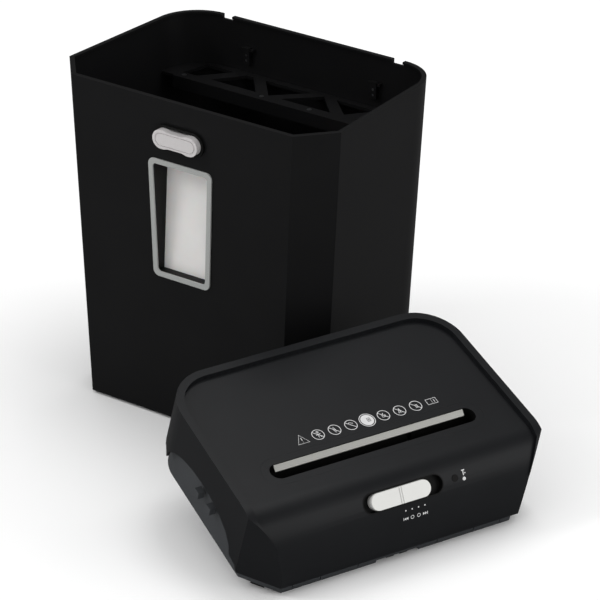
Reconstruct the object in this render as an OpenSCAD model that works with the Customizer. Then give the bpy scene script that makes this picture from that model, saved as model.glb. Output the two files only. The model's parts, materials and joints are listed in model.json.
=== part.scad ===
// Paper shredder: a tall waste bin with a window, and the cutting head that has been lifted off it
// and set down on the floor in front of the bin's right corner.
// Origin: centre of the bin's base on the floor, +Z up, the bin's front faces -Y.

/* [Bin] */
// Height of the bin with its feet
bin_h = 352; // [280:1:430]
// Half of the bin's width, where the front chamfers end
bin_ws = 168; // [150:1:210]
// Half of the bin's depth at the rim
bin_d = 112; // [105:1:140]
// Half width of the flat front face
bin_wf = 136; // [120:1:165]
// Length of the front chamfers along the side
chamfer = 36; // [25:1:45]
// Radius of the back corners
corner_r = 48; // [30:1:60]
// How much narrower each side is at the back than at the chamfer
back_taper = 6; // [0:0.5:10]
// Width of the base as a share of the width of the rim
base_scale = 0.885; // [0.82:0.005:1]
// Wall thickness of the bin
wall = 3; // [2:0.1:4]
// Width of the rim's inward lip
lip = 5; // [4.5:0.1:7]

/* [Window] */
// Height of the window frame
window_h = 128; // [80:1:150]
// Width of the window frame at its top
window_w = 79; // [60:1:100]
// How much narrower the frame is at its bottom
window_taper = 9; // [0:1:20]
// Width of the frame's border
window_border = 5.5; // [3:0.5:9]
// Distance from the rim down to the frame's top
window_drop = 64; // [58:1:90]
// Depth of the pocket at its top
pocket_top = 25; // [15:1:35]
// Depth of the pocket at its bottom
pocket_low = 10; // [8:1:15]

/* [Catch] */
// Length of the catch button
catch_w = 55; // [40:1:70]
// Height of the catch button
catch_h = 20; // [14:1:26]
// How far the catch button stands out of the bin
catch_out = 9; // [7:0.5:14]
// Travel of the catch button
catch_travel = 4; // [2:0.5:4.5]
// Distance from the rim down to the middle of the catch
catch_drop = 38; // [30:1:42]

/* [Head] */
// Height of the head above the bottom of its skirt
head_h = 88; // [84:1:110]
// Height of the skirt below the cover's lower edge
skirt_h = 12; // [8:1:18]
// How far the cover stands in from the bin's rim
head_inset = 3; // [1:0.5:6]
// Wall thickness of the cover
cover_wall = 2.5; // [2:0.1:3]
// Depth of the dished top below its raised rim
dish = 5; // [2:0.5:6]
// Width of the raised rim
rim_w = 8; // [5:0.5:12]
// Depth of the motor sump below the skirt
sump_drop = 45; // [35:1:60]
// Length of the feed opening
slot_len = 230; // [220:1:234]
// Front-to-back width of the feed opening
slot_w = 19; // [14:0.5:20]

/* [Switch] */
// Length of the sliding knob
knob_l = 66; // [40:1:70]
// Width of the sliding knob
knob_w = 16.5; // [12:0.5:18]
// Distance between neighbouring switch positions
detent = 7.2; // [5:0.1:7.5]

/* [Mechanism] */
// Radius of the cutter discs
disc_r = 17; // [15:0.1:17.4]
// Distance between the two cutter shafts
cutter_gap = 29; // [28.6:0.1:31]
// Distance from one cutter disc to the next on one shaft
disc_pitch = 4.6; // [4.2:0.1:6]
// Radius of the cutter journals
journal_r = 6; // [5:0.1:7]
// Radius of the motor can
motor_r = 27; // [20:0.5:28]

/* [Resting place of the head] */
// Angle that the head is turned through, seen from above
rest_turn = 68; // [60:1:70]
// Distance of the front foot in front of the bin's centre
foot_y = 74; // [70:1:80]

/* [Hidden] */
$fn = 64;

// Fits and small clearances
run = 0.05;
fixed = 0.02;
free = 0.4;
e = 0.01;

// Bin
bin_wb = bin_ws - back_taper;
foot_h = 3;
floor_t = 4;
rim_t = 2.5;
base_back = bin_d - 6;
notch_w = 13;
notch_x = bin_wb - corner_r - notch_w / 2 - 0.5;
notch_d = 5;
front_y = -bin_d;
foot_r = 9;
stud_r = 5;

// Window
win_z1 = bin_h - window_drop;
win_z0 = win_z1 - window_h;
win_proud = 1.8;
frame_round = 7;
liner_t = 2;

// Catch
catch_z = bin_h - catch_drop;
catch_deep = 14;

// Head outline, in the head's own frame: centre of the plan, z = 0 at the bottom of the skirt
head_ws = bin_ws - head_inset;
head_wb = bin_wb - head_inset + 1;
head_wf = bin_wf - 2;
head_d = bin_d - head_inset;
head_ch = chamfer - 1;
head_r = corner_r - 1;
skirt_in = 7;
skirt_y = head_d - 5;
curve_y = -60;
curve_a = head_d + curve_y;
curve_b = head_h - skirt_h;
top_z = head_h - dish;
dish_a = curve_a - 0.8;
dish_b = top_z - skirt_h;
front_wall = cover_wall - 0.2;
ceiling = top_z - 3;
slot_y = -30;
strip_len = slot_len - 16;
strip_w = 5.5;
insert_l = slot_len + 17;
insert_w = slot_w + 15;
sump = [-90, 110, 20, head_d - 11];
sump_t = 2.5;
plate_t = 3;

// Switch on the curved front
switch_x = 0.4;
switch_y = -88;
switch_c = (curve_y - switch_y) / dish_a;
switch_s = sqrt(1 - switch_c * switch_c);
switch_z = skirt_h + dish_b * switch_s;
switch_tilt = atan(dish_b / dish_a * switch_c / switch_s);
knob_x = -detent / 2;
travel = 3 * detent;
recess_l = knob_l + travel + 1;
recess_w = knob_w + 1.5;
bezel_t = 1;
stem_l = 8;
lens_x = 59;
lens_r = 3.5;

// Cutters, frames and gears
cutter_z = 30;
front_c = [slot_y - cutter_gap / 2, cutter_z];
rear_c = [slot_y + cutter_gap / 2, cutter_z];
disc_n = floor((slot_len - 8) / disc_pitch);
disc_t = disc_pitch / 2 - 0.3;
core_r = cutter_gap - disc_r - 0.5;
frame_x = slot_len / 2 + 4;
frame_t = 3;
gear_x = frame_x + frame_t + 2;
rod_c = [-70, 15];
rod_r = 5;
tie_c = [[20, 9], [-60, 47]];
tie_r = 4;
bush_r = journal_r + 3;
sync_n = 20;
sync_m = cutter_gap / sync_n;
drive_n = 30;
drive_m = 1.5;
small_n = 12;
second_n = 32;
second_m = 1.25;
first_n = 40;
first_m = 1;
pinion_n = 10;
slack = 0.15;
motor_c = [56, 10];
first_a = 125;
d_pf = first_m * (pinion_n + first_n) / 2 + slack;
d_fs = second_m * (small_n + second_n) / 2 + slack;
d_sd = drive_m * (small_n + drive_n) / 2 + slack;
first_c = motor_c + d_pf * [cos(first_a), sin(first_a)];
to_drive = rear_c - first_c;
d_fd = norm(to_drive);
a_fd = atan2(to_drive[1], to_drive[0]);
a_fs = a_fd - acos((d_fs * d_fs + d_fd * d_fd - d_sd * d_sd) / (2 * d_fs * d_fd));
second_c = first_c + d_fs * [cos(a_fs), sin(a_fs)];
a_ds = atan2(second_c[1] - rear_c[1], second_c[0] - rear_c[0]);
pin_r = 3;
shaft_r = 2.5;
gear_a = [gear_x, gear_x + 8];
gear_b = [gear_a[1] + 1, gear_a[1] + 7];
gear_c = [gear_b[1] + 1, gear_b[1] + 6];

// A gear's phase that meshes with a gear of phase p1 and n1 teeth, seen from it at angle a
function mesh(a, p1, n1, n2) = a + 180 - 180 / n2 + (a - p1) * n1 / n2;
phase_drive = 0;
phase_second_small = mesh(a_ds, phase_drive, drive_n, small_n);
phase_second = phase_second_small;
phase_first_small = mesh(a_fs + 180, phase_second, second_n, small_n);
phase_first = phase_first_small;
phase_pinion = mesh(first_a + 180, phase_first, first_n, pinion_n);
phase_sync = 0;
phase_sync_front = mesh(180, phase_sync, sync_n, sync_n);

// Motor and small parts
can_x = [sump[1] - 128, sump[1] - 8];
can_t = 2;
lever_c = [-12, 66];
lever_x = 45;
plunger_x = 80;
plunger_z = -26;
plunger_r = 2.5;
plunger_out = 5;
gland_x = -notch_x;
gland_z = 22;
board_x = 18.6 - head_ws;

// The head lies on the front edge of its skirt and the front edge of its sump
rest_tilt = atan(sump_drop / (skirt_y + sump[2]));
seat_z = bin_h - skirt_h + free;
shelf_top = seat_z - sump_drop - 0.5;
shelf_t = 3.5;
shelf_y = 58;
clip_x = 80;
clip_z = seat_z + plunger_z;
clip_y = sump[3] + plunger_out + 0.5;
rod_rest_z = (rod_c[0] + skirt_y) * sin(rest_tilt) + rod_c[1] * cos(rest_tilt);
swing_r = seat_z + rod_c[1] - rod_rest_z;
// Least distance from the bin's side out to the head's carrying rod
rest_clear = 161;
reach = max(swing_r, bin_ws + rest_clear);
turn = [[cos(rest_turn), -sin(rest_turn)], [sin(rest_turn), cos(rest_turn)]];
foot_c = [0, -foot_y];
rod_plan = foot_c + turn * ([0, rod_c[0]] - foot_c) - reach * [-sin(rest_turn), cos(rest_turn)];
rod_off = rod_c[0] * cos(rest_tilt) - rod_c[1] * sin(rest_tilt);
head_pos = [
    rod_plan[0] + sin(rest_turn) * rod_off,
    rod_plan[1] - cos(rest_turn) * rod_off,
    skirt_y * sin(rest_tilt)
];

// Plan outline with chamfered front corners and round back corners, counter-clockwise
function outline(ws, wb, wf, yf, yb, ch, r, n = 12) =
    let (arc = [for (i = [0:n]) [wb - r + r * cos(90 * i / n), yb - r + r * sin(90 * i / n)]])
    let (right = concat([[wf, -yf], [ws, -yf + ch]], arc))
    concat(right, [for (i = [len(right) - 1:-1:0]) [-right[i][0], right[i][1]]]);

// The bin's outline at a height, moved in by t
function bin_line(z, t) =
    let (k = (z - foot_h) / (bin_h - foot_h))
    let (s = base_scale + (1 - base_scale) * k)
    outline(bin_ws * s - t, bin_wb * s - t, bin_wf * s - 0.45 * t, bin_d - t,
        base_back + (bin_d - base_back) * k - t, chamfer - 0.62 * t, corner_r - t);

// The head's outline moved in by t
function head_line(t) =
    outline(head_ws - t, head_wb - t, head_wf - 0.45 * t, head_d - t, head_d - t,
        head_ch - 0.62 * t, head_r - t);

// The skirt's outline moved in by t
function skirt_line(t) =
    outline(head_ws - skirt_in - t, head_wb - skirt_in - t, head_wf - 4 - 0.45 * t, skirt_y - t,
        skirt_y - t, head_ch - 2 - 0.62 * t, head_r - skirt_in - t);

// Solid between two outlines with the same number of points
module loft(low, z0, high, z1) {
    n = len(low);
    pts = concat([for (p = low) [p[0], p[1], z0]], [for (p = high) [p[0], p[1], z1]]);
    sides = [for (i = [0:n - 1]) each [[i, n + i, (i + 1) % n], [(i + 1) % n, n + i, n + (i + 1) % n]]];
    caps = [[for (i = [0:n - 1]) i], [for (i = [n - 1:-1:0]) n + i]];
    polyhedron(points = pts, faces = concat(caps, sides));
}

module stadium(l, w, h) {
    linear_extrude(h) {
        square([l - w, w], center = true);
        translate([(l - w) / 2, 0]) circle(d = w);
        translate([(w - l) / 2, 0]) circle(d = w);
    }
}

// Puts a flat drawing in y and z, with its thickness along +X from x
module along_x(x, y = 0, z = 0) {
    translate([x, y, z]) rotate([90, 0, 90]) children();
}

module rod_x(x0, x1, c, r) {
    along_x(x0, c[0], c[1]) cylinder(r = r, h = x1 - x0);
}

// Carries a piece from the head's own frame to where the head lies
module in_head() {
    translate(head_pos) rotate([rest_tilt, 0, rest_turn]) children();
}

// Local frame on the curved front, with the switch at its origin and +Z out of the surface
module on_front(x) {
    translate([x, switch_y, switch_z]) rotate([switch_tilt, 0, 0]) children();
}

// Faces front (-Y), drawn in x and z, from y0 back to y1
module facing(y0, y1) {
    translate([0, y1, 0]) rotate([90, 0, 0]) linear_extrude(y1 - y0) children();
}

module box(a, b) {
    translate(a) cube(b - a);
}

// Rounds the corners of a flat shape
module rounded(r) {
    offset(r = r) offset(delta = -r) children();
}

module bin_cavity() {
    inner_z = foot_h + floor_t;
    loft(bin_line(inner_z, wall), inner_z, bin_line(bin_h - rim_t, wall), bin_h - rim_t);
    loft(bin_line(bin_h - rim_t - e, lip), bin_h - rim_t - e, bin_line(bin_h + 1, lip), bin_h + 1);
}

module window_hole(grow) {
    w1 = window_w / 2 - window_border + grow;
    w0 = w1 - window_taper / 2;
    z0 = win_z0 + window_border - grow;
    z1 = win_z1 - window_border + grow;
    polygon([[-w0, z0], [w0, z0], [w1, z1], [-w1, z1]]);
}

module bin_shell() color("#1c1c1e") {
    difference() {
        loft(bin_line(foot_h, 0), foot_h, bin_line(bin_h, 0), bin_h);
        bin_cavity();
        facing(front_y - 1, front_y + wall + 1) window_hole(liner_t + 0.2);
        translate([0, front_y + wall + 1, catch_z]) rotate([90, 0, 0]) {
            stadium(catch_w + 4.6, catch_h + 4.6, wall + 3);
        }
        for (s = [-1, 1]) {
            box([s * notch_x - notch_w / 2, bin_d - lip - 1, bin_h - notch_d],
                [s * notch_x + notch_w / 2, bin_d + 1, bin_h + 1]);
        }
        translate([foot_c[0], foot_c[1], 0]) cylinder(r = stud_r + run, h = 20);
        for (p = feet()) translate([p[0], p[1], 0]) cylinder(r = stud_r + fixed, h = 20);
    }
}

// Feet near the four corners and one in the middle
function feet() = concat([[0, 0]],
    [for (s = [-1, 1], y = [-1, 1]) [s * (bin_wf * base_scale - 14), y * (bin_d - 34)]]);

module foot() {
    cylinder(r = foot_r, h = foot_h - 0.1);
    cylinder(r = stud_r, h = foot_h + floor_t + 1);
}

module bin_feet() color("#2a2a2a") {
    for (p = feet()) translate([p[0], p[1], 0]) foot();
}

module front_foot() color("#2a2a2a") {
    translate([foot_c[0], foot_c[1], 0]) foot();
}

module window_frame() color("#a9aba9") {
    outer = [[-window_w / 2 + window_taper / 2, win_z0], [window_w / 2 - window_taper / 2, win_z0],
        [window_w / 2, win_z1], [-window_w / 2, win_z1]];
    difference() {
        facing(front_y - win_proud, front_y - e) rounded(frame_round) polygon(outer);
        facing(front_y - win_proud - 1, front_y + 1) rounded(frame_round - 3) window_hole(0);
    }
}

function pocket(z, grow, back) =
    let (k = (z - win_z0) / (win_z1 - win_z0))
    let (w = window_w / 2 - window_border - window_taper / 2 * (1 - k) + grow)
    let (y = front_y + pocket_low + (pocket_top - pocket_low) * k + grow + back)
    [[w, front_y], [w, y], [-w, y], [-w, front_y]];

// The open box behind the window, deeper at its top
module pocket_block(grow, back = 0) {
    z0 = win_z0 + window_border - grow;
    z1 = win_z1 - window_border + grow;
    loft(pocket(z0, grow, back), z0, pocket(z1, grow, back), z1);
}

module window_liner() color("#141310") {
    difference() {
        pocket_block(liner_t);
        translate([0, -1, 0]) pocket_block(0, 1);
        translate([0, 8, 0]) pocket_block(-liner_t);
    }
}

module window_pane() color("#d0cfce") {
    intersection() {
        translate([0, 0.05, 0]) pocket_block(-0.1, 0);
        difference() {
            pocket_block(3);
            translate([0, -1.6, 0]) pocket_block(3, -3);
        }
    }
}

module rear_shelf() color("#242426") {
    edge = bin_line(shelf_top - shelf_t, wall + 0.3);
    w = bin_ws;
    rib = 11;
    y0 = shelf_y + rib;
    y1 = bin_d - wall - 0.3 - rib * 0.8;
    difference() {
        intersection() {
            translate([0, 0, shelf_top - shelf_t]) linear_extrude(shelf_t) polygon(edge);
            box([-w, shelf_y, 0], [w, bin_d, bin_h]);
        }
        for (h = [
            [[-136, y0], [-118, y0], [-92, y1], [-128, y1]],
            [[-100, y0], [-42, y0], [-68, y1], [-76, y1]],
            [[-52, y1], [-26, y0], [6, y1]],
            [[-10, y0], [52, y0], [22, y1]],
            [[38, y1], [66, y0 + 4], [88, y1]],
            [[82, y0], [128, y0], [132, y1 - 8], [104, y1]]
        ]) {
            translate([0, 0, shelf_top - shelf_t - 1]) linear_extrude(shelf_t + 2) polygon(h);
        }
        for (p = shelf_holes()) translate([p, shelf_y + 5, 0]) cylinder(r = 1.6 + fixed, h = bin_h);
    }
    box([-140, shelf_y - 2, shelf_top - 14], [140, shelf_y + e, shelf_top]);
}

function shelf_holes() = [-130, -30, 30, 130];

module shelf_screws() color("#8c8c8e") {
    for (p = shelf_holes()) {
        translate([p, shelf_y + 5, shelf_top - 10]) cylinder(r = 1.6, h = 10);
        translate([p, shelf_y + 5, shelf_top + fixed]) cylinder(r = 2.6, h = 0.4);
    }
}

// Inner face of the bin's back wall at a height
function back_face(z) = base_back + (bin_d - base_back) * (z - foot_h) / (bin_h - foot_h) - wall;
module rear_clips() color("#2b2b2d") {
    for (s = [-1, 1]) {
        difference() {
            union() {
                box([s * clip_x - 4, clip_y, clip_z - 9],
                    [s * clip_x + 4, back_face(clip_z - 9) - 0.1, clip_z + 9]);
                box([s * clip_x - 8, clip_y + 1, clip_z + 5],
                    [s * clip_x + 8, back_face(clip_z) - 0.1, clip_z + 8]);
            }
            for (z = [-5, 1]) {
                translate([s * clip_x, clip_y - 1, clip_z + z]) rotate([-90, 0, 0]) {
                    cylinder(r = 1.2 + fixed, h = 20);
                }
            }
        }
    }
}

module clip_screws() color("#77787a") {
    for (s = [-1, 1], z = [-5, 1]) {
        translate([s * clip_x, clip_y + 0.1, clip_z + z]) rotate([-90, 0, 0]) cylinder(r = 1.2, h = 3.5);
    }
}

module catch_base() color("#1a1a1c") {
    difference() {
        union() {
            translate([0, front_y - e, catch_z]) rotate([90, 0, 0]) stadium(catch_w + 6, catch_h + 6, 3);
            translate([0, front_y + catch_deep, catch_z]) rotate([90, 0, 0]) {
                stadium(catch_w + 4, catch_h + 4, catch_deep);
            }
        }
        translate([0, front_y + catch_deep - 2, catch_z]) rotate([90, 0, 0]) {
            stadium(catch_w + 2 * free, catch_h + 2 * free, catch_deep + 8);
        }
    }
}

module catch_button() color("#dcd9d9") {
    translate([0, front_y + catch_travel, catch_z]) rotate([90, 0, 0]) difference() {
        stadium(catch_w, catch_h, catch_out + catch_travel);
        translate([0, 0, catch_out + catch_travel - 1]) difference() {
            stadium(catch_w - 6, catch_h - 6, 2);
            translate([0, 0, -1]) stadium(catch_w - 8, catch_h - 8, 4);
        }
    }
}

module catch_spring() color("#9a9a9c") {
    l = catch_deep - 2 - 2 * catch_travel - 0.5;
    for (s = [-1, 1]) {
        translate([s * catch_w / 4, front_y + catch_travel + l, catch_z]) rotate([90, 0, 0]) difference() {
            cylinder(r = 5, h = l - 0.02);
            translate([0, 0, -1]) cylinder(r = 4, h = l + 2);
        }
    }
}

// Points of the head's side profile from its lower front edge up and back
function front_curve(a, b, n = 20) =
    [for (i = [0:n]) [curve_y - a * cos(90 * i / n), skirt_h + b * sin(90 * i / n)]];

module side_profile(a, b, z0, back) {
    x = head_ws + 5;
    along_x(-x) linear_extrude(2 * x) polygon(concat([[back, z0], [curve_y - a, z0]], front_curve(a, b),
        [[back, skirt_h + b]]));
}

// Hand hold in the lower edge of each side wall
module side_arch() {
    pts = concat([[-76, skirt_h - 1], [-70, skirt_h + 6]],
        [for (i = [0:10]) [8 - 66 * cos(18 * i), skirt_h + 8 + 30 * sin(18 * i)]],
        [[80, skirt_h + 14], [98, skirt_h + 12], [104, skirt_h - 1]]);
    along_x(-head_ws - 5) linear_extrude(2 * head_ws + 10) polygon(pts);
}

module cover_shape() {
    difference() {
        intersection() {
            translate([0, 0, skirt_h]) linear_extrude(head_h) polygon(head_line(0));
            side_profile(curve_a, curve_b, skirt_h, head_d + 5);
        }
        difference() {
            translate([0, 0, skirt_h]) linear_extrude(head_h) polygon(
                outline(head_ws - rim_w, head_wb - rim_w, head_wf - 2, head_d + 5, head_d - rim_w, head_ch,
                    head_r - rim_w));
            side_profile(dish_a, dish_b, 0, head_d + 5);
        }
    }
}

boss_r = 4.5;
boss_front = head_d - 19;
boss_p = [
    [25 - head_ws, head_d - 39], [head_ws - 25, head_d - 39],
    [-110, -boss_front], [110, -boss_front]
];
// Height of the dished front above the far side of the front bosses
boss_low = skirt_h + dish_b * sqrt(1 - pow((curve_y + boss_front + boss_r) / dish_a, 2)) - 0.6;

module head_cover() color("#1f2123") in_head() difference() {
    union() {
        difference() {
            cover_shape();
            intersection() {
                translate([0, 0, -1]) linear_extrude(ceiling + 1) polygon(head_line(cover_wall));
                side_profile(dish_a - front_wall, ceiling - skirt_h, -1, head_d + 5);
            }
            side_arch();
        }
        for (p = boss_p) {
            translate([p[0], p[1], plate_t + 0.2]) {
                cylinder(r = boss_r, h = (p[1] > 0 ? ceiling + 1 : boss_low) - plate_t);
            }
        }
    }
    for (p = boss_p) translate([p[0], p[1], 0]) cylinder(r = 2 + fixed, h = 26);
    translate([0, slot_y, ceiling - 5]) stadium(insert_l, insert_w, 20);
    on_front(switch_x) translate([0, 0, -12]) {
        stadium(recess_l + 2 * bezel_t + 0.1, recess_w + 2 * bezel_t + 0.1, 30);
    }
    on_front(lens_x) translate([0, 0, -12]) cylinder(r = lens_r + fixed, h = 30);
    translate([gland_x, head_d - 8, gland_z]) rotate([-90, 0, 0]) cylinder(r = 6 + fixed, h = 20);
}

module lower_housing() color("#3c3e40") in_head() {
    difference() {
        union() {
            difference() {
                union() {
                    linear_extrude(30) polygon(skirt_line(0));
                    intersection() {
                        linear_extrude(56) polygon(skirt_line(0));
                        box([-200, -74, 0], [200, 120, 60]);
                    }
                }
                translate([0, 0, plate_t]) linear_extrude(60) polygon(skirt_line(2.5));
                box([-frame_x - 0.5, -66, -1], [frame_x + 0.5, 12, 10]);
                box([sump[0] + sump_t, sump[2] + sump_t, -1], [sump[1] - sump_t, sump[3] - sump_t, 10]);
                box([-24, -skirt_y - 1, -1], [24, -skirt_y + 9, 3.4]);
            }
            difference() {
                box([sump[0], sump[2], -sump_drop], [sump[1], sump[3], plate_t]);
                box([sump[0] + sump_t, sump[2] + sump_t, sump_t - sump_drop],
                    [sump[1] - sump_t, sump[3] - sump_t, 10]);
            }
            for (s = [-1, 1]) {
                box([s * notch_x - 5.5, skirt_y - 2, 8], [s * notch_x + 5.5, bin_d - 1.5, 11.5]);
            }
            for (y = [-16, 6]) box([-head_ws + 1, y, 30], [-head_ws + skirt_in + 1, y + 8, 38]);
        }
        for (p = boss_p) translate([p[0], p[1], -1]) cylinder(r = 2 + fixed, h = plate_t + 2);
        translate([plunger_x, sump[3] - 5, plunger_z]) rotate([-90, 0, 0]) {
            cylinder(r = plunger_r + run, h = 10);
        }
        for (s = [-1, 1], x = [45, 87, 118]) {
            box([s * x - 0.5, -skirt_y - 1, 2], [s * x + 0.5, -skirt_y + 1.2, skirt_h + 2]);
        }
        rod_x(-frame_x - 10, frame_x + 10, rod_c, rod_r + 1);
        translate([gland_x, skirt_y - 8, gland_z]) rotate([-90, 0, 0]) cylinder(r = 8, h = 20);
    }
}

module housing_screws() color("#8a8b8d") in_head() {
    for (p = boss_p) {
        translate([p[0], p[1], -fixed]) cylinder(r = 2, h = 18);
        translate([p[0], p[1], -2]) cylinder(r = 3.6, h = 2 - fixed);
    }
}

module side_clips() color("#161617") in_head() {
    for (s = [-1, 1]) {
        translate([s * (head_ws - 22), 25 - head_d, -3.5]) rotate([0, 0, s * 48]) {
            box([-7, -1.5, 0], [7, 1.5, 3.48]);
            box([-2, 1.4, 0], [2, 3, 3.48]);
        }
    }
}

module front_clip() color("#1b1b1d") in_head() {
    difference() {
        box([-12, -skirt_y + 1, 0.6], [12, -skirt_y + 6, 3.38]);
        box([-3, -skirt_y, 0], [3, -skirt_y + 7, 2.2]);
    }
}

module slot_insert() color("#101011") in_head() {
    x = slot_len / 2;
    y0 = slot_y - slot_w / 2;
    y1 = slot_y + slot_w / 2;
    difference() {
        union() {
            translate([0, slot_y, ceiling]) stadium(insert_l - 0.1, insert_w - 0.1, top_z - ceiling);
            along_x(-x - 1.5) linear_extrude(2 * x + 3) polygon([[y0 - 2, ceiling + 1], [slot_y - 5, 50],
                [slot_y + 5, 50], [y1 + 2, ceiling + 1]]);
        }
        intersection() {
            along_x(-x) linear_extrude(2 * x) polygon([[y0, top_z + 1], [y0, ceiling], [slot_y - 3.5, 49],
                [slot_y + 3.5, 49], [slot_y + 3.5, 66], [y1 - 2, 74], [y1, top_z + 1]]);
            translate([0, slot_y, 40]) stadium(slot_len, slot_w, 60);
        }
        box([lever_x - 1.2, slot_y + 2, 40], [lever_x + 3.7, y1 + 4, 72]);
    }
}

// Bright guide that the paper slides down
module slot_strip() color("#b9b9b5") in_head() {
    y1 = slot_y + slot_w / 2;
    along_x(-strip_len / 2) linear_extrude(strip_len) polygon([[y1 - 0.5, top_z - 0.6],
        [y1 - 0.5 - strip_w, top_z - 4.6], [y1 - 0.5 - strip_w, top_z - 6.1], [y1 - 0.8, top_z - 2.2]]);
}

module switch_bezel() color("#0d0d0e") in_head() on_front(switch_x) {
    difference() {
        translate([0, 0, -8]) stadium(recess_l + 2 * bezel_t, recess_w + 2 * bezel_t, 8);
        translate([0, 0, -6]) stadium(recess_l, recess_w, 20);
        translate([0, 0, -10]) stadium(stem_l + travel + 4, 5.4, 6);
    }
}

module switch_knob() color("#e4e4e2") in_head() on_front(switch_x) translate([knob_x, 0, 0]) {
    difference() {
        translate([0, 0, -5.6]) stadium(knob_l, knob_w, 8.1);
        for (x = [-1.2, 1.2]) box([x - 0.5, -knob_w, 1.7], [x + 0.5, knob_w, 4]);
    }
    box([-stem_l / 2, -2.4, -11], [stem_l / 2, 2.4, -5.5]);
}

module switch_body() color("#35536b") in_head() on_front(switch_x) {
    difference() {
        box([-26, -7, -20], [26, 7, -8.4]);
        box([-stem_l / 2 - travel / 2 - 1, -3, -12], [stem_l / 2 + travel / 2 + 1, 3, -8]);
    }
}

module indicator_lens() color("#1a0b0b") in_head() on_front(lens_x) {
    translate([0, 0, -3.5]) cylinder(r = lens_r, h = 3.8);
}

module indicator_lamp() color("#c8503c") in_head() on_front(lens_x) translate([0, 0, -11]) {
    cylinder(r = 2.5, h = 5);
    translate([0, 0, 5]) sphere(r = 2.5);
}

module frame_plate(x) {
    difference() {
        along_x(x) linear_extrude(frame_t) polygon([[-80, 4], [-80, 30], [-68, 55], [-46, 60], [-46, 49],
            [-14, 49], [-14, 60], [30, 60], [66, 50], [76, 4]]);
        for (c = [front_c, rear_c]) rod_x(x - 1, x + frame_t + 1, c, bush_r + fixed);
        rod_x(x - 1, x + frame_t + 1, rod_c, rod_r + run);
        for (c = tie_c) rod_x(x - 1, x + frame_t + 1, c, tie_r + fixed);
        rod_x(x - 1, x + frame_t + 1, motor_c, shaft_r + 2);
        if (x > 0) for (c = [first_c, second_c]) rod_x(x - 1, x + frame_t + 1, c, pin_r + fixed);
    }
}

module left_frame() color("#9fa3a6") in_head() frame_plate(-frame_x - frame_t);

module right_frame() color("#9fa3a6") in_head() frame_plate(frame_x);

module front_tie_rod() color("#b4b7ba") in_head() {
    rod_x(-frame_x - frame_t - 2, frame_x + frame_t + 1.5, rod_c, rod_r);
}

module tie_rods() color("#b4b7ba") in_head() {
    for (c = tie_c) rod_x(-frame_x - frame_t - 3, frame_x + frame_t + 1.5, c, tie_r);
}

module cutter_bushes() color("#b5894a") in_head() {
    for (c = [front_c, rear_c], x = [-frame_x - frame_t, frame_x]) difference() {
        rod_x(x, x + frame_t, c, bush_r);
        rod_x(x - 1, x + frame_t + 1, c, journal_r + run);
    }
}

// A shaft with its discs in one piece, turned from one profile
module cutter(shift, x0, x1) {
    half = disc_n * disc_pitch / 2;
    teeth = [for (i = [0:disc_n - 1])
        let (x = -half + (i + 0.5) * disc_pitch + shift)
        let (a = x - disc_t / 2, b = x + disc_t / 2)
        each [[core_r, a], [disc_r, a], [disc_r, b], [core_r, b]]];
    near = [[0, x0], [journal_r, x0], [journal_r, -half - 1.5], [core_r, -half - 1.5]];
    far = [[core_r, half + 1.5], [journal_r, half + 1.5], [journal_r, x1], [0, x1]];
    rotate_extrude() polygon(concat(near, teeth, far));
}

module front_cutter() color("#8f9499") in_head() {
    along_x(0, front_c[0], front_c[1]) cutter(-disc_pitch / 4, -gear_a[1] - 1, frame_x + frame_t + 1);
}

module rear_cutter() color("#8f9499") in_head() {
    along_x(0, rear_c[0], rear_c[1]) cutter(disc_pitch / 4, -gear_a[1] - 1, gear_a[1] + 0.5);
}

// Comb whose fingers stand between the discs of one shaft
module comb(c, side, shift) {
    half = disc_n * disc_pitch / 2;
    finger = disc_pitch - disc_t - 1;
    y_in = c[0] + side * (core_r + 0.6);
    y_out = c[0] + side * (disc_r + 5.5);
    y_bar = c[0] + side * (disc_r + 1);
    box([-frame_x + 0.2, min(y_bar, y_out), cutter_z - 2], [frame_x - 0.2, max(y_bar, y_out), cutter_z + 3]);
    for (i = [1:disc_n - 1]) {
        x = -half + i * disc_pitch + shift;
        box([x - finger / 2, min(y_in, y_out), cutter_z - 2],
            [x + finger / 2, max(y_in, y_out), cutter_z + 1]);
    }
}

module front_comb() color("#c9c5b8") in_head() comb(front_c, -1, -disc_pitch / 4);

module rear_comb() color("#c9c5b8") in_head() comb(rear_c, 1, disc_pitch / 4);

// Spur gear of module m with n teeth, one tooth on angle p
module gear(m, n, p, t, bore) {
    r = m * n / 2;
    pts = [for (i = [0:n - 1]) each [for (k = [[-0.95, -1.2], [-0.36, 0.85], [0.36, 0.85], [0.95, -1.2]])
        let (rr = r + k[1] * m, a = p + 360 * i / n + k[0] * m / rr * 180 / PI) rr * [cos(a), sin(a)]]];
    linear_extrude(t) difference() {
        polygon(pts);
        circle(r = bore);
    }
}

module front_sync_gear() color("#7d7f82") in_head() {
    along_x(-gear_a[1], front_c[0], front_c[1]) gear(sync_m, sync_n, phase_sync_front, 8, journal_r + fixed);
}

module rear_sync_gear() color("#7d7f82") in_head() {
    along_x(-gear_a[1], rear_c[0], rear_c[1]) gear(sync_m, sync_n, phase_sync, 8, journal_r + fixed);
}

module drive_gear() color("#7d7f82") in_head() {
    along_x(gear_a[0], rear_c[0], rear_c[1]) {
        gear(drive_m, drive_n, phase_drive, gear_a[1] - gear_a[0], journal_r + fixed);
    }
}

module second_gear() color("#d8d4c4") in_head() {
    along_x(gear_a[0], second_c[0], second_c[1]) {
        gear(drive_m, small_n, phase_second_small, gear_b[0] - gear_a[0] + e, pin_r + run);
    }
    along_x(gear_b[0], second_c[0], second_c[1]) {
        gear(second_m, second_n, phase_second, gear_b[1] - gear_b[0], pin_r + run);
    }
}

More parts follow.
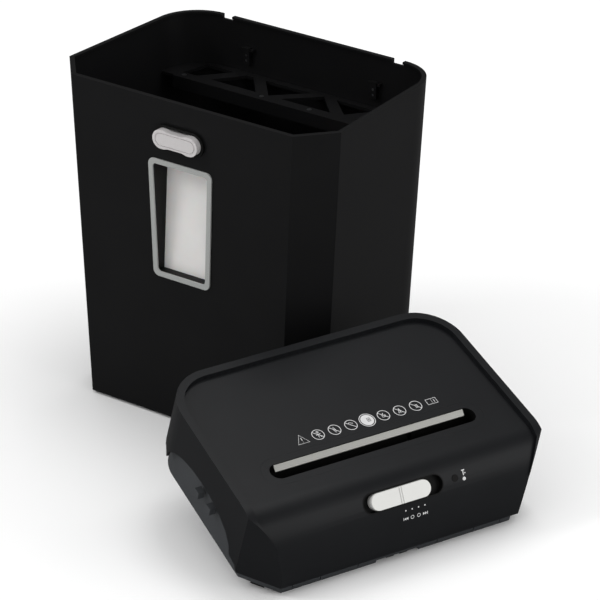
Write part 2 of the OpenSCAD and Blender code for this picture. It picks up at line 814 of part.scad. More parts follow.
module first_gear() color("#d8d4c4") in_head() {
    along_x(gear_b[0], first_c[0], first_c[1]) {
        gear(second_m, small_n, phase_first_small, gear_c[0] - gear_b[0] + e, pin_r + run);
    }
    along_x(gear_c[0], first_c[0], first_c[1]) {
        gear(first_m, first_n, phase_first, gear_c[1] - gear_c[0], pin_r + run);
    }
}

module gear_pins() color("#c4c7ca") in_head() {
    rod_x(frame_x, gear_c[1] + 1.6, first_c, pin_r);
    rod_x(frame_x, gear_b[1] + 1.6, second_c, pin_r);
}

module retainer(x, c) {
    difference() {
        rod_x(x, x + 0.8, c, pin_r + 2);
        rod_x(x - 1, x + 2, c, pin_r + fixed);
    }
}

module gear_clips() color("#55585b") in_head() {
    retainer(gear_c[1] + 0.4, first_c);
    retainer(gear_b[1] + 0.4, second_c);
    retainer(gear_b[0] - 1.2, first_c);
    retainer(gear_a[0] - 1.2, second_c);
}

module motor_can() color("#8b8e90") in_head() difference() {
    rod_x(can_x[0], can_x[1], motor_c, motor_r);
    rod_x(can_x[0] - 1, can_x[1] + 1, motor_c, motor_r - can_t);
}

module motor_end_caps() color("#6c6f72") in_head() difference() {
    union() {
        rod_x(can_x[0] - 3, can_x[0] - fixed, motor_c, motor_r - 1);
        rod_x(can_x[1] + fixed, can_x[1] + 3, motor_c, motor_r - 1);
    }
    rod_x(can_x[0] - 10, can_x[1] + 10, motor_c, shaft_r + run);
}

module motor_rotor() color("#b06a3a") in_head() {
    rod_x(can_x[0] - 6, gear_c[1] + 0.5, motor_c, shaft_r);
    rod_x(can_x[0] + 20, can_x[1] - 20, motor_c, motor_r - 9);
    rod_x(can_x[0] + 6, can_x[0] + 15, motor_c, 9);
    for (i = [0:5]) along_x(can_x[1] - 14, motor_c[0], motor_c[1]) rotate(60 * i) {
        translate([0, -0.8, 0]) cube([motor_r - 6, 1.6, 8]);
    }
}

module motor_pinion() color("#c79a4b") in_head() {
    along_x(gear_c[0], motor_c[0], motor_c[1]) {
        gear(first_m, pinion_n, phase_pinion, gear_c[1] - gear_c[0], shaft_r + fixed);
    }
}

module motor_cradle() color("#2e3032") in_head() difference() {
    for (x = [can_x[0] + 8, can_x[1] - 50]) {
        box([x, sump[2] + 8, sump_t - sump_drop + fixed], [x + 14, sump[3] - 10, -2]);
    }
    rod_x(can_x[0] - 5, can_x[1] + 5, motor_c, motor_r + fixed);
}

module thermal_cutout() color("#1e1e20") in_head() {
    box([20, motor_c[0] - 7, motor_c[1] + motor_r + 0.05], [42, motor_c[0] + 7, motor_c[1] + motor_r + 7]);
}

module capacitor() color("#31475e") in_head() {
    rod_x(-78, -40, [46, -28], 9);
}

module circuit_board() color("#2f5d3a") in_head() {
    box([board_x - 1.6, 0, 14], [board_x, 62, 52]);
}

module board_parts() color("#3b3f43") in_head() {
    x = board_x + fixed;
    box([x, 6, 20], [x + 14.4, 24, 34]);
    box([x, 34, 22], [x + 8.4, 54, 30]);
    along_x(x, 44, 42) cylinder(r = 6, h = 12);
}

module lever_bracket() color("#1b1b1d") in_head() difference() {
    union() {
        for (x = [lever_x - 4, lever_x + 4.5]) {
            box([x, lever_c[0] - 4, 60], [x + 2, lever_c[0] + 4, ceiling - 1]);
        }
        box([lever_x - 4, lever_c[0] - 4, ceiling - 4], [lever_x + 6.5, lever_c[0] + 4, ceiling - 0.05]);
    }
    rod_x(lever_x - 10, lever_x + 12, lever_c, 1.5 + run);
}

module paper_lever() color("#e8e4da") in_head() {
    rod_x(lever_x - 4, lever_x + 6.5, lever_c, 1.5);
    rod_x(lever_x, lever_x + 2.5, lever_c, 3.5);
    along_x(lever_x) linear_extrude(2.5) polygon([[-12, 69], [-34, 59.5], [-34, 57], [-12, 63]]);
}

module interlock_plunger() color("#d9d6cc") in_head() {
    translate([plunger_x, sump[3] - 6, plunger_z]) rotate([-90, 0, 0]) {
        cylinder(r = plunger_r, h = 6 + plunger_out);
    }
}

module interlock_switch() color("#26282a") in_head() {
    box([plunger_x - 10, 76, plunger_z - 5], [plunger_x + 10, sump[3] - 10.5, plunger_z + 5]);
}

module cord_gland() color("#151516") in_head() difference() {
    union() {
        translate([gland_x, head_d - 6, gland_z]) rotate([-90, 0, 0]) cylinder(r = 6, h = 12);
        translate([gland_x, head_d + fixed, gland_z]) rotate([-90, 0, 0]) cylinder(r = 7.5, h = 3);
    }
    translate([gland_x, head_d - 10, gland_z]) rotate([-90, 0, 0]) cylinder(r = 3.6, h = 30);
}

bin_shell();
window_frame();
window_liner();
window_pane();
rear_shelf();
shelf_screws();
rear_clips();
clip_screws();
catch_base();
catch_button();
catch_spring();
bin_feet();
front_foot();
front_tie_rod();
head_cover();
lower_housing();
housing_screws();
side_clips();
front_clip();
slot_insert();
slot_strip();
switch_bezel();
switch_knob();
switch_body();
indicator_lens();
indicator_lamp();
left_frame();
right_frame();
tie_rods();
cutter_bushes();
front_cutter();
rear_cutter();
front_comb();
rear_comb();
front_sync_gear();
rear_sync_gear();
drive_gear();
second_gear();
first_gear();
gear_pins();
gear_clips();
motor_can();
motor_end_caps();
motor_rotor();
motor_pinion();
motor_cradle();
thermal_cutout();
capacitor();
circuit_board();
board_parts();
paper_lever();
lever_bracket();
interlock_plunger();
interlock_switch();
cord_gland();
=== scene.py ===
import json
import math

import bpy
from mathutils import Matrix, Vector


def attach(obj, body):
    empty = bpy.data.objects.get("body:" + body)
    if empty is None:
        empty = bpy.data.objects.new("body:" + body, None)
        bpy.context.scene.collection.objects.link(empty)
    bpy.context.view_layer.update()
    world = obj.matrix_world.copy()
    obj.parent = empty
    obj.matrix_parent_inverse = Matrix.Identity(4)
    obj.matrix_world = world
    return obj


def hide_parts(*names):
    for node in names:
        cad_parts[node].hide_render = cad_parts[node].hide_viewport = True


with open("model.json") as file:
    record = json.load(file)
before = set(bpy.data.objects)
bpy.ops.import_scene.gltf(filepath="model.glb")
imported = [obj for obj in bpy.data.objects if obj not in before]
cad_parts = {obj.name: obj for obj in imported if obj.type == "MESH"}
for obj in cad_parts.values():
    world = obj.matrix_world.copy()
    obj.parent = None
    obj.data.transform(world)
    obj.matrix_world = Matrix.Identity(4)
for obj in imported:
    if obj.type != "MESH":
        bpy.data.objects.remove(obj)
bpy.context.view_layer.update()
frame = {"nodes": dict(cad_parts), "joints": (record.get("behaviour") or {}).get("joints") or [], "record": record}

mm = 0.001
bpy.ops.object.select_all(action="DESELECT")

# Camera
camera = {"turn": 35.9, "height": 25.8, "distance": 3.556, "look": (0.051, 0.018, 0.104), "lens": 208}


def placeCamera(look):
    turn, up = math.radians(look["turn"]), math.radians(look["height"])
    away = Vector((math.sin(turn) * math.cos(up), -math.cos(turn) * math.cos(up), math.sin(up)))
    bpy.ops.object.camera_add(location=Vector(look["look"]) + away * look["distance"])
    eye = bpy.context.object
    eye.rotation_euler = (-away).to_track_quat("-Z", "Y").to_euler()
    eye.data.lens = look["lens"]
    eye.data.sensor_width = 36
    eye.data.clip_end = 50
    bpy.context.scene.camera = eye


placeCamera(camera)


def linear(code):
    parts = [int(code[i:i + 2], 16) / 255 for i in (1, 3, 5)]
    return tuple(p / 12.92 if p <= 0.04045 else ((p + 0.055) / 1.055) ** 2.4 for p in parts) + (1.0,)


def addNode(tree, kind, settings=None, links=None):
    node = tree.nodes.new(kind)
    for name, value in (settings or {}).items():
        if name in node.inputs:
            node.inputs[name].default_value = value
        else:
            setattr(node, name, value)
    for name, source in (links or {}).items():
        tree.links.new(source, node.inputs[name])
    return node


def newMaterial(name):
    made = bpy.data.materials.new(name)
    made.use_nodes = True
    tree = made.node_tree
    tree.nodes.clear()
    place = addNode(tree, "ShaderNodeTexCoord")
    return made, tree, place.outputs["Object"]


def closeMaterial(tree, shader):
    addNode(tree, "ShaderNodeOutputMaterial", links={"Surface": shader.outputs["BSDF"]})


def blend(tree, factor, first, second):    # a mix of two colours, given as sRGB codes
    tone = addNode(tree, "ShaderNodeMix", {"data_type": "RGBA"}, {"Factor": factor})
    tone.inputs[6].default_value = linear(first)
    tone.inputs[7].default_value = linear(second)
    return tone.outputs[2]


def noise(tree, place, size, detail, **more):    # size is the pattern's scale in millimetres
    return addNode(tree, "ShaderNodeTexNoise", {"Scale": 1 / (size * mm), "Detail": detail, **more},
                   {"Vector": place}).outputs["Fac"]


def glossFrom(tree, source, look):    # roughness that follows a pattern between the look's two values
    spread = {"From Min": 0.3, "From Max": 0.7, "To Min": look["smooth"], "To Max": look["rough"]}
    return addNode(tree, "ShaderNodeMapRange", spread, {"Value": source}).outputs["Result"]


def bumpFrom(tree, source, strength, distance):    # distance in millimetres
    bump = addNode(tree, "ShaderNodeBump", {"Strength": strength, "Distance": distance * mm},
                   {"Height": source})
    return bump.outputs["Normal"]


def mouldedPlastic(name, look):    # spark-eroded mould: tiny pits over a satin face, colour nearly even
    made, tree, place = newMaterial(name)
    pits = noise(tree, place, look["grain"], 3.0, Roughness=0.6)
    tone = blend(tree, noise(tree, place, look["cloud"], 2.0), look["dark"], look["light"])
    shader = addNode(tree, "ShaderNodeBsdfPrincipled", {"IOR": 1.5, "Specular IOR Level": look["shine"]}, {
        "Base Color": tone, "Roughness": glossFrom(tree, pits, look),
        "Normal": bumpFrom(tree, pits, look["depth"], 0.1)})
    closeMaterial(tree, shader)
    return made


def brushedMetal(name, look):    # rolled or turned metal: fine lines along one axis, a broad soft shine
    made, tree, place = newMaterial(name)
    stretch = addNode(tree, "ShaderNodeMapping", {"Rotation": look["lay"], "Scale": (1.0, 0.03, 1.0)},
                      {"Vector": place})
    lines = noise(tree, stretch.outputs["Vector"], look["line"], 4.0)
    shader = addNode(tree, "ShaderNodeBsdfPrincipled", {"Metallic": 1.0}, {
        "Base Color": blend(tree, lines, look["dark"], look["light"]),
        "Roughness": glossFrom(tree, lines, look), "Normal": bumpFrom(tree, lines, 0.12, 0.05)})
    closeMaterial(tree, shader)
    return made


def silverPaint(name, look):    # metallic lacquer: flakes give a soft grey shine under a clear coat
    made, tree, place = newMaterial(name)
    flakes = addNode(tree, "ShaderNodeTexVoronoi", {"Scale": 1 / (look["flake"] * mm)}, {"Vector": place})
    depth = flakes.outputs["Distance"]
    shader = addNode(tree, "ShaderNodeBsdfPrincipled", {
        "Metallic": look["metal"], "Roughness": look["rough"], "Coat Weight": 0.3, "Coat Roughness": 0.15}, {
        "Base Color": blend(tree, depth, look["light"], look["dark"]),
        "Normal": bumpFrom(tree, depth, 0.05, 0.05)})
    closeMaterial(tree, shader)
    return made


def paneWithPaintedReflection(name, look):    # translucent polystyrene sheet, soft inside and smooth outside; its pale colour is partly painted reflection of the light on the window
    made, tree, place = newMaterial(name)
    tone = blend(tree, noise(tree, place, look["cloud"], 2.0), look["dark"], look["light"])
    shader = addNode(tree, "ShaderNodeBsdfPrincipled", {
        "IOR": 1.5, "Roughness": 0.35, "Subsurface Weight": 0.15, "Subsurface Scale": 0.004,
        "Coat Weight": 0.25, "Coat Roughness": 0.08}, {"Base Color": tone})
    closeMaterial(tree, shader)
    return made


black = {
    "grain": 0.5, "cloud": 60, "dark": "#101011", "light": "#141415", "smooth": 0.36, "rough": 0.5,
    "depth": 0.25, "shine": 0.24,
}
finishes = {
    "black_abs": mouldedPlastic("black satin ABS", black),
    "head_abs": mouldedPlastic("head satin ABS", black | {
        "dark": "#141517", "light": "#191a1c", "smooth": 0.3, "rough": 0.4, "grain": 0.4, "depth": 0.15,
        "shine": 0.22}),
    "skirt_abs": mouldedPlastic("grey skirt ABS", black | {
        "dark": "#37393b", "light": "#414346", "smooth": 0.4, "rough": 0.55}),
    "grey_trim": silverPaint("silver trim lacquer", {
        "flake": 0.25, "light": "#b9bbb9", "dark": "#9a9c9a", "metal": 0.25, "rough": 0.42}),
    "dark_liner": mouldedPlastic("matt black ABS", black | {
        "dark": "#0b0b0b", "light": "#121211", "smooth": 0.5, "rough": 0.65}),
    # painted reflection: the pale grey of the window stands partly for the light it reflects
    "clear_pane": paneWithPaintedReflection("polystyrene pane with painted reflection", {
        "cloud": 25, "dark": "#d8d6d4", "light": "#e2e0de"}),
    "silver_catch": silverPaint("silver catch lacquer", {
        "flake": 0.2, "light": "#ebe8e8", "dark": "#d3cfcf", "metal": 0.35, "rough": 0.3}),
    "knob_grey": mouldedPlastic("light grey ABS", black | {
        "dark": "#cfcfcc", "light": "#dbdbd8", "smooth": 0.38, "rough": 0.5, "depth": 0.15}),
    "silver_strip": brushedMetal("satin aluminium", {
        "line": 0.6, "lay": (0, 0, 0.38), "dark": "#bcbcb7", "light": "#d8d8d3", "smooth": 0.38,
        "rough": 0.5}),
    "lens_dark": mouldedPlastic("tinted lens acrylic", black | {
        "dark": "#030202", "light": "#060303", "shine": 0.12, "smooth": 0.2, "rough": 0.26, "depth": 0.02}),
    "lamp_red": mouldedPlastic("red epoxy lamp", black | {
        "dark": "#8c1d16", "light": "#b0281e", "smooth": 0.15, "rough": 0.22, "depth": 0.02}),
    "steel_plate": brushedMetal("cold rolled steel", {
        "line": 0.5, "lay": (0, 0, 0), "dark": "#9b9ea1", "light": "#bcbfc2", "smooth": 0.3, "rough": 0.45}),
    "cutter_steel": brushedMetal("ground cutter steel", {
        "line": 0.3, "lay": (0, 0, 0.4), "dark": "#7f8388", "light": "#a5a9ad", "smooth": 0.25,
        "rough": 0.4}),
    "gear_steel": brushedMetal("sintered gear steel", {
        "line": 0.8, "lay": (0, 0, 1.2), "dark": "#6c6f73", "light": "#8a8d90", "smooth": 0.4,
        "rough": 0.6}),
    "bronze": brushedMetal("oiled bronze", {
        "line": 0.4, "lay": (0, 0, 0.3), "dark": "#9c7136", "light": "#c29253", "smooth": 0.3,
        "rough": 0.45}),
    "nylon_white": mouldedPlastic("natural nylon", black | {
        "dark": "#d5d0bf", "light": "#e2decf", "smooth": 0.35, "rough": 0.5}),
    "comb_abs": mouldedPlastic("natural acetal", black | {
        "dark": "#c2bdae", "light": "#d2cdbf", "smooth": 0.4, "rough": 0.5}),
    "screw_steel": brushedMetal("zinc plated screw", {
        "line": 0.2, "lay": (0, 0, 0.9), "dark": "#8b8c8f", "light": "#a8a9ab", "smooth": 0.25,
        "rough": 0.4}),
    "can_steel": brushedMetal("zinc plated can", {
        "line": 1.2, "lay": (0, 0, 1.2), "dark": "#82868a", "light": "#9ea2a5", "smooth": 0.3,
        "rough": 0.5}),
    "copper_rotor": brushedMetal("lacquered copper winding", {
        "line": 0.5, "lay": (0, 0, 1.2), "dark": "#8f4f25", "light": "#b9713b", "smooth": 0.3,
        "rough": 0.45}),
    "rubber_foot": mouldedPlastic("moulded rubber", black | {
        "dark": "#232323", "light": "#2c2c2c", "smooth": 0.7, "rough": 0.85}),
    "board_green": mouldedPlastic("solder mask", black | {
        "dark": "#1f4d2c", "light": "#2b613a", "smooth": 0.25, "rough": 0.35}),
    "part_dark": mouldedPlastic("filled nylon", black | {
        "dark": "#26282a", "light": "#303336", "smooth": 0.45, "rough": 0.6}),
    "sleeve_blue": mouldedPlastic("shrink sleeve", black | {
        "dark": "#27394f", "light": "#314763", "smooth": 0.2, "rough": 0.3}),
    "switch_blue": mouldedPlastic("switch nylon", black | {
        "dark": "#2c485f", "light": "#37566f", "smooth": 0.4, "rough": 0.5}),
    "spring_steel": brushedMetal("drawn spring wire", {
        "line": 0.3, "lay": (0, 0, 0.5), "dark": "#8b8b8d", "light": "#a9a9ab", "smooth": 0.25,
        "rough": 0.4}),
}
whiteInk = mouldedPlastic("white pad-print ink", {
    "grain": 0.3, "cloud": 5, "dark": "#c3c3c3", "light": "#d2d2d2", "smooth": 0.5, "rough": 0.6,
    "depth": 0.1, "shine": 0.3})
print("materials ready")

# The head's own frame as it lies on the floor: X along the slot, Y to its back, Z out of its top
joints = {j["name"]: j for j in frame["joints"]}
headX = Vector(joints["switch_slide"]["axis"]).normalized()
headY = -Vector(joints["interlock_press"]["axis"]).normalized()
headZ = headX.cross(headY)
headTurn = Matrix((headX, headY, headZ)).transposed()
rodInHead = Vector((0, -0.070, 0.015))
headOrigin = Vector(joints["carry_level"]["pos_m"]) - headTurn @ rodInHead
headPlace = Matrix.Translation(headOrigin) @ headTurn.to_4x4()
bodyOf = {n: b for b, names in frame["record"]["behaviour"]["bodies"].items() for n in names}
slotOf = {s["node"]: s["material_slot"] for s in frame["record"]["subparts"]}

for nodeName, node in frame["nodes"].items():    # every carried-over part gets its real finish
    node.data.materials.clear()
    node.data.materials.append(finishes[slotOf[nodeName]])


def only(piece):
    bpy.ops.object.select_all(action="DESELECT")
    piece.select_set(True)
    bpy.context.view_layer.objects.active = piece


def inHead(point):    # a point in the room, seen in the head's own frame
    return headPlace.inverted() @ point


def frontArc(y, depth, rise):    # height of the head's curved front at y in the head's frame
    return headEdge["skirt"] + rise * math.sqrt(max(0, 1 - ((headEdge["bend"] - y) / depth) ** 2))


headEdge = {"skirt": 12, "bend": -60, "outerDepth": 49, "outerRise": 76, "dishDepth": 48.2, "dishRise": 71,
            "crown": 0.95, "inner": 0.8, "foot": 0.5, "rest": 0.09}


def rimShare(point):    # how much of the widest rounding an edge of the head's cover gets
    x, y, z = (v / mm for v in inHead(point))
    bend = headEdge["bend"]
    top = frontArc(min(y, bend), headEdge["outerDepth"], headEdge["outerRise"]) if y < bend else 88
    low = frontArc(min(y, bend), headEdge["dishDepth"], headEdge["dishRise"]) if y < bend else 83
    insideRim = abs(x) < 162 and y < 104
    if z < headEdge["skirt"] + 9 or abs(y + 30) < 19 and abs(x) < 126:
        return headEdge["rest"]
    if abs(z - top) < 0.5:
        return headEdge["inner"] if insideRim else headEdge["crown"]
    if abs(z - low) < 0.4 and abs(x) > 134 or y > 95 and abs(z - low) < 0.4:
        return headEdge["foot"]
    return headEdge["rest"]


smoothUnder = 32    # degrees


def softened(nodeName, newName, look):    # a copy of the part with its sharp edges rounded by its mould
    piece = frame["nodes"][nodeName].copy()
    piece.data = frame["nodes"][nodeName].data.copy()
    for key in list(piece.keys()):
        del piece[key]
    piece.parent = None
    piece.name = newName
    bpy.context.scene.collection.objects.link(piece)
    only(piece)
    bpy.ops.object.mode_set(mode="EDIT")
    bpy.ops.mesh.select_all(action="SELECT")
    bpy.ops.mesh.remove_doubles(threshold=0.002 * mm)
    bpy.ops.mesh.tris_convert_to_quads(face_threshold=math.radians(0.5), shape_threshold=math.radians(180))
    bpy.ops.object.mode_set(mode="OBJECT")
    if "shape" in look:
        look["shape"](piece)
    bevel = piece.modifiers.new("edges", "BEVEL")
    bevel.width = look["radius"] * mm
    bevel.segments = look["steps"]
    bevel.limit_method = "ANGLE"
    bevel.angle_limit = math.radians(look["sharp"])
    if "share" in look:
        weights = piece.data.attributes.new("bevel_weight_edge", "FLOAT", "EDGE")
        points = piece.data.vertices
        sides = {}
        for face in piece.data.polygons:
            for key in face.edge_keys:
                sides.setdefault(key, []).append(face.normal)
        for edge in piece.data.edges:
            around = sides.get(tuple(sorted(edge.vertices)), [])
            if len(around) == 2 and around[0].angle(around[1], 0) > math.radians(look["sharp"]):
                middle = (points[edge.vertices[0]].co + points[edge.vertices[1]].co) / 2
                weights.data[edge.index].value = look["share"](middle)
        bevel.limit_method = "WEIGHT"
    even = piece.modifiers.new("normals", "WEIGHTED_NORMAL")
    even.keep_sharp = True
    only(piece)
    bpy.ops.object.modifier_apply(modifier="edges")
    bpy.ops.object.shade_smooth_by_angle(angle=math.radians(smoothUnder))
    bpy.ops.object.modifier_apply(modifier="normals")
    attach(piece, bodyOf[nodeName])
    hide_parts(nodeName)
    return piece


catchGrip = {"cuts": (-14, -8.5, 8.5, 14), "waist": 9, "depth": 1.4}


def waisted(piece):    # the catch is pinched in the middle of its long sides, where a finger pulls
    only(piece)
    bpy.ops.object.mode_set(mode="EDIT")
    for x in catchGrip["cuts"]:
        bpy.ops.mesh.select_all(action="SELECT")
        bpy.ops.mesh.bisect(plane_co=(x * mm, 0, 0), plane_no=(1, 0, 0))
    bpy.ops.object.mode_set(mode="OBJECT")
    heights = [v.co.z for v in piece.data.vertices]
    middle = (min(heights) + max(heights)) / 2
    edge = (max(heights) - min(heights)) / 2 - 0.3 * mm
    for vertex in piece.data.vertices:
        rise = vertex.co.z - middle
        if abs(rise) > edge and abs(vertex.co.x) < catchGrip["waist"] * mm:
            vertex.co.z -= math.copysign(catchGrip["depth"] * mm, rise)


mouldEdges = {
    "bin_shell": ("binShell", {"radius": 0.9, "steps": 3, "sharp": 30}),
    "window_frame": ("windowFrame", {"radius": 0.7, "steps": 3, "sharp": 40}),
    "rear_shelf": ("rearShelf", {"radius": 0.5, "steps": 2, "sharp": 40}),
    "rear_clips": ("rearClips", {"radius": 0.4, "steps": 2, "sharp": 40}),
    "catch_base": ("catchBase", {"radius": 0.8, "steps": 3, "sharp": 50}),
    "catch_button": ("catchButton", {"radius": 0.8, "steps": 4, "sharp": 50, "shape": waisted}),
    "head_cover": ("headCover", {"radius": 3.2, "steps": 5, "sharp": 25, "share": rimShare}),
    "lower_housing": ("lowerHousing", {"radius": 0.4, "steps": 2, "sharp": 40}),
    "slot_insert": ("slotSurround", {"radius": 0.6, "steps": 3, "sharp": 40}),
    "slot_strip": ("slotStrip", {"radius": 0.4, "steps": 2, "sharp": 40}),
    "switch_bezel": ("switchRecess", {"radius": 0.4, "steps": 2, "sharp": 50}),
    "switch_knob": ("switchKnob", {"radius": 0.9, "steps": 4, "sharp": 50}),
    "side_clips": ("sideClips", {"radius": 0.4, "steps": 2, "sharp": 40}),
    "front_clip": ("frontClip", {"radius": 0.4, "steps": 2, "sharp": 40}),
    "indicator_lens": ("indicatorLens", {"radius": 0.5, "steps": 3, "sharp": 50}),
    "cord_gland": ("cordGland", {"radius": 0.6, "steps": 3, "sharp": 50}),
    "bin_feet": ("binFeet", {"radius": 0.6, "steps": 2, "sharp": 50}),
}
shown = {n: softened(n, *look) for n, look in mouldEdges.items()}
print("casings softened")

# The slot's surround is flush with the cover and has its colour; only its throat is matt black
surround = shown["slot_insert"]
surround.data.materials.append(finishes["head_abs"])
for face in surround.data.polygons:
    if face.normal.dot(headZ) > 0.3 and inHead(face.center).z / mm > 82:
        face.material_index = 1

# White marks printed on the head
marks = {
    "line": 0.5, "proud": 0.07, "iconFirst": -64.5, "iconStep": 18.46, "iconY": -1.8, "iconSize": 6.2,
    "topZ": 83, "firstX": 0.4, "detent": 7.2, "dotY": -97.6, "dotSize": 0.75, "symbolY": -101.2,
    "arrowTall": 1.5, "barX": 2.6, "heatX": 69, "heatY": -87, "bulbY": -90, "discX": 1.6,
}


def placeOn(piece, spot):    # moves a drawn mark to its place and keeps that place in the mesh
    piece.data.transform(spot)
    piece.data.update()


def outlineOf(name, lines):    # a curve with one straight-sided line for each list of points
    sheet = bpy.data.curves.new(name, "CURVE")
    for points, closed in lines:
        line = sheet.splines.new("POLY")
        line.points.add(len(points) - 1)
        for spotOn, (x, y) in zip(line.points, points):
            spotOn.co = (x * mm, y * mm, 0, 1)
        line.use_cyclic_u = closed
    return sheet


def printed(sheet, spot):    # turns a curve into a thin mesh and sets it on the surface
    piece = bpy.data.objects.new(sheet.name, sheet)
    bpy.context.scene.collection.objects.link(piece)
    only(piece)
    bpy.ops.object.convert(target="MESH")
    piece = bpy.context.object
    placeOn(piece, spot)
    return piece


def strokes(name, lines, width, spot):    # thin printed lines: round wires pressed flat
    sheet = outlineOf(name, lines)
    sheet.dimensions = "3D"
    sheet.bevel_depth = width / 2 * mm
    sheet.bevel_resolution = 1
    sheet.use_fill_caps = True
    press = marks["proud"] / (width / 2)
    return printed(sheet, spot @ Matrix.Diagonal((1, 1, press, 1)))


def patch(name, points, spot):    # a filled printed shape, as thick as the ink
    sheet = outlineOf(name, [(points, True)])
    sheet.dimensions = "2D"
    sheet.fill_mode = "BOTH"
    sheet.extrude = marks["proud"] / 2 * mm
    return printed(sheet, spot @ Matrix.Translation((0, 0, marks["proud"] / 2 * mm)))


def ring(r, steps=40, x=0, y=0):
    angles = [2 * math.pi * i / steps for i in range(steps)]
    return [(x + r * math.cos(a), y + r * math.sin(a)) for a in angles]


def frameOf(w, h, x=0, y=0):
    return [(x - w / 2, y - h / 2), (x + w / 2, y - h / 2), (x + w / 2, y + h / 2), (x - w / 2, y + h / 2)]


def onTop(x, y):
    return headPlace @ Matrix.Translation(Vector((x, y, marks["topZ"])) * mm)


def onCurve(x, y):    # a place on the dished front, with its own Z out of the surface
    depth, rise = headEdge["dishDepth"], headEdge["dishRise"]
    c = (headEdge["bend"] - y) / depth
    lean = math.atan2(rise * c, depth * math.sqrt(1 - c * c))
    z = frontArc(y, depth, rise)
    return headPlace @ Matrix.Translation(Vector((x, y, z)) * mm) @ Matrix.Rotation(lean, 4, "X")


def iconLines(kind, r):    # small generic pictures, each drawn in strokes
    slash = ([(-0.7 * r, 0.7 * r), (0.7 * r, -0.7 * r)], False)
    circle = (ring(r), True)
    pictures = {
        "warning": [([(-r, -0.85 * r), (r, -0.85 * r), (0, 0.95 * r)], True),
                    ([(0, 0.35 * r), (0, -0.25 * r)], False), ([(0, -0.52 * r), (0, -0.6 * r)], False)],
        "child": [circle, slash, ([(-0.1 * r, -0.6 * r), (0.05 * r, 0.2 * r), (0.35 * r, -0.6 * r)], False),
                  ([(-0.35 * r, -0.05 * r), (0.45 * r, 0.1 * r)], False),
                  (ring(0.17 * r, 10, 0.1 * r, 0.5 * r), True)],
        "tie": [circle, slash, ([(0, 0.6 * r), (-0.16 * r, 0), (0, -0.6 * r), (0.16 * r, 0)], True)],
        "clip": [circle, slash, ([(0.5 * r, 0.2 * r), (-0.1 * r, 0.5 * r), (-0.3 * r, 0.3 * r)], False)],
        "hand": [circle, slash, (frameOf(0.6 * r, 0.35 * r, 0, -0.15 * r), True),
                 ([(-0.2 * r, 0.05 * r), (0.1 * r, 0.45 * r)], False)],
        "hair": [circle, slash, ([(-0.35 * r, -0.5 * r), (0, 0.5 * r), (0.35 * r, -0.5 * r)], False),
                 ([(0, 0.5 * r), (0, -0.5 * r)], False)],
        "spray": [circle, slash, (frameOf(0.3 * r, 0.6 * r, 0.1 * r, -0.1 * r), True)],
        "book": [(frameOf(0.9 * r, 1.1 * r, -0.45 * r), True), (frameOf(0.9 * r, 1.1 * r, 0.45 * r), True),
                 ([(0.45 * r, -0.3 * r), (0.45 * r, 0.3 * r)], False)],
    }
    return pictures[kind]


drawn = []
order = ["warning", "child", "tie", "clip", None, "hand", "hair", "spray", "book"]
for i, kind in enumerate(order):
    at = onTop(marks["iconFirst"] + i * marks["iconStep"], marks["iconY"])
    if kind:
        drawn.append(strokes("icon" + kind, iconLines(kind, marks["iconSize"]), marks["line"] * 1.5, at))
    else:    # the middle one is a filled disc with a ring and a small open square
        r = marks["iconSize"] * 1.3
        drawn.append(strokes("iconRing", [(ring(r), True)], marks["line"] * 1.6, at))
        drawn.append(patch("iconDisc", ring(r * 0.84), at))
        window = strokes("iconSheet", [(frameOf(3.2, 4.2, marks["discX"]), True),
                                       (frameOf(1.1, 1.5, marks["discX"]), True)],
                         marks["line"] * 1.4, at @ Matrix.Translation((0, 0, marks["proud"] * mm)))
        window.data.materials.append(finishes["head_abs"])
        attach(window, "head")
# Switch positions: dots above, and the symbols for back, off, auto and forward below
stopX = [marks["firstX"] + i * marks["detent"] for i in range(4)]
tall = marks["arrowTall"]
for x in stopX:
    drawn.append(patch("dot", ring(marks["dotSize"], 12), onCurve(x, marks["dotY"])))
for x, way in ((stopX[0], -1), (stopX[3], 1)):
    here = onCurve(x, marks["symbolY"])
    for shift in (-1.4, 0.9):
        tip, back = way * (shift + 1.1), way * (shift - 1.1)
        drawn.append(patch("arrow", [(back, -tall), (tip, 0), (back, tall)][::way], here))
    bar = [(way * marks["barX"], -tall), (way * marks["barX"], tall)]
    drawn.append(strokes("bar", [(bar, False)], 0.7, here))
for x in stopX[1:3]:
    drawn.append(strokes("circle", [(ring(1.7, 24), True)], 0.6, onCurve(x, marks["symbolY"])))
heat = [([(0, -1.2), (0, 3.6)], False), ([(-1.6, 3.8), (1.9, 3.8)], False), ([(1.2, 0.8), (2.6, 0.8)], False)]
drawn.append(strokes("heatTube", heat, 1.1, onCurve(marks["heatX"], marks["heatY"])))
drawn.append(patch("heatBulb", ring(1.8, 20), onCurve(marks["heatX"], marks["bulbY"])))
for piece in drawn:
    piece.data.materials.clear()
    piece.data.materials.append(whiteInk)
only(drawn[0])
for piece in drawn:
    piece.select_set(True)
bpy.ops.object.join()
allMarks = bpy.context.object
allMarks.name = "headMarks"
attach(allMarks, "head")
print("marks printed")

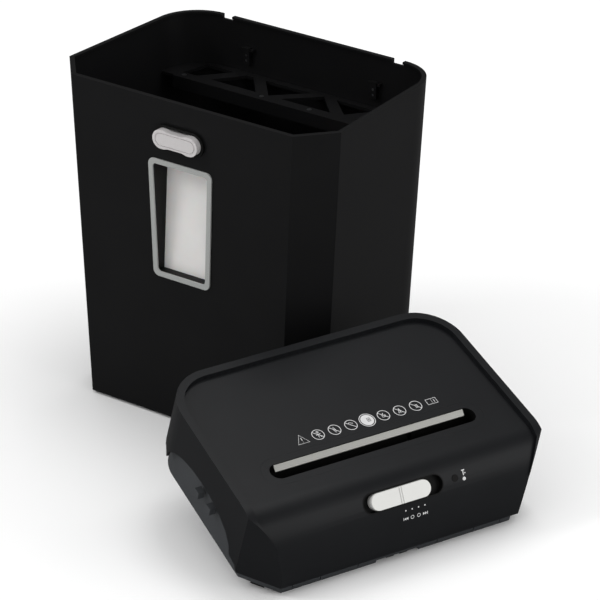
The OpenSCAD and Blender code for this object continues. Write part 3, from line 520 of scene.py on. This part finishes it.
# Floor and light
studio = {
    "floorSize": 40,
    "floorColor": ("#f2f2f2", "#f6f6f6"),
    "worldColor": "#ffffff",
    "worldStrength": 0.9,
    "worldShine": 0.1,
    # painted reflection: the darker grey that glossy rays see on the floor
    "floorReflectionShade": "#6a6a6a",
    "lampAim": (0.1, -0.05, 0.15),
    "lamps": {
        "key": {"at": (-2.2, -2.4, 3.0), "size": (1.1, 1.1), "power": 36},
        "top": {"at": (0.5, 0.6, 3.4), "size": (2.4, 1.2), "power": 26},
        "right": {"at": (3.0, 0.5, 1.0), "size": (1.6, 1.8), "power": 13},
    },
}


def dimFloor(tree, shade):    # painted reflection: gloss sees the floor as a flat darker grey, as if dark flags lay just outside the picture
    seen = tree.nodes["Principled BSDF"]
    end = tree.nodes["Material Output"]
    path = addNode(tree, "ShaderNodeLightPath")
    paintedReflection = addNode(tree, "ShaderNodeBsdfDiffuse", {"Color": linear(shade)})
    mix = addNode(tree, "ShaderNodeMixShader", None, {"Fac": path.outputs["Is Glossy Ray"]})
    tree.links.new(seen.outputs["BSDF"], mix.inputs[1])
    tree.links.new(paintedReflection.outputs["BSDF"], mix.inputs[2])
    tree.links.new(mix.outputs["Shader"], end.inputs["Surface"])


def buildStudio(look):
    bpy.ops.mesh.primitive_plane_add(size=look["floorSize"])
    ground = bpy.context.object
    ground.name = "floor"
    paper = mouldedPlastic("white paper sweep", {"grain": 1.0, "cloud": 300, "dark": look["floorColor"][0],
                                                 "light": look["floorColor"][1], "smooth": 0.8, "rough": 0.95,
                                                 "depth": 0.02, "shine": 0.2})
    dimFloor(paper.node_tree, look["floorReflectionShade"])
    ground.data.materials.append(paper)
    for name, lamp in look["lamps"].items():
        bpy.ops.object.light_add(type="AREA", location=lamp["at"])
        light = bpy.context.object
        light.name = name
        light.data.shape = "RECTANGLE"
        light.data.size, light.data.size_y = lamp["size"]
        light.data.energy = lamp["power"]
        aim = Vector(look["lampAim"]) - Vector(lamp["at"])
        light.rotation_euler = aim.to_track_quat("-Z", "Y").to_euler()
    world = bpy.data.worlds.new("studio")
    world.use_nodes = True
    bpy.context.scene.world = world
    back = world.node_tree.nodes["Background"]
    back.inputs["Color"].default_value = linear(look["worldColor"])
    # White walls far off, and dark flags that gloss sees
    path = addNode(world.node_tree, "ShaderNodeLightPath")
    glossy = addNode(world.node_tree, "ShaderNodeMapRange", {"To Min": look["worldStrength"],
                                                             "To Max": look["worldShine"]},
                     {"Value": path.outputs["Is Glossy Ray"]})
    world.node_tree.links.new(glossy.outputs["Result"], back.inputs["Strength"])
    bpy.context.scene.view_settings.view_transform = "Standard"


buildStudio(studio)
print("studio ready")
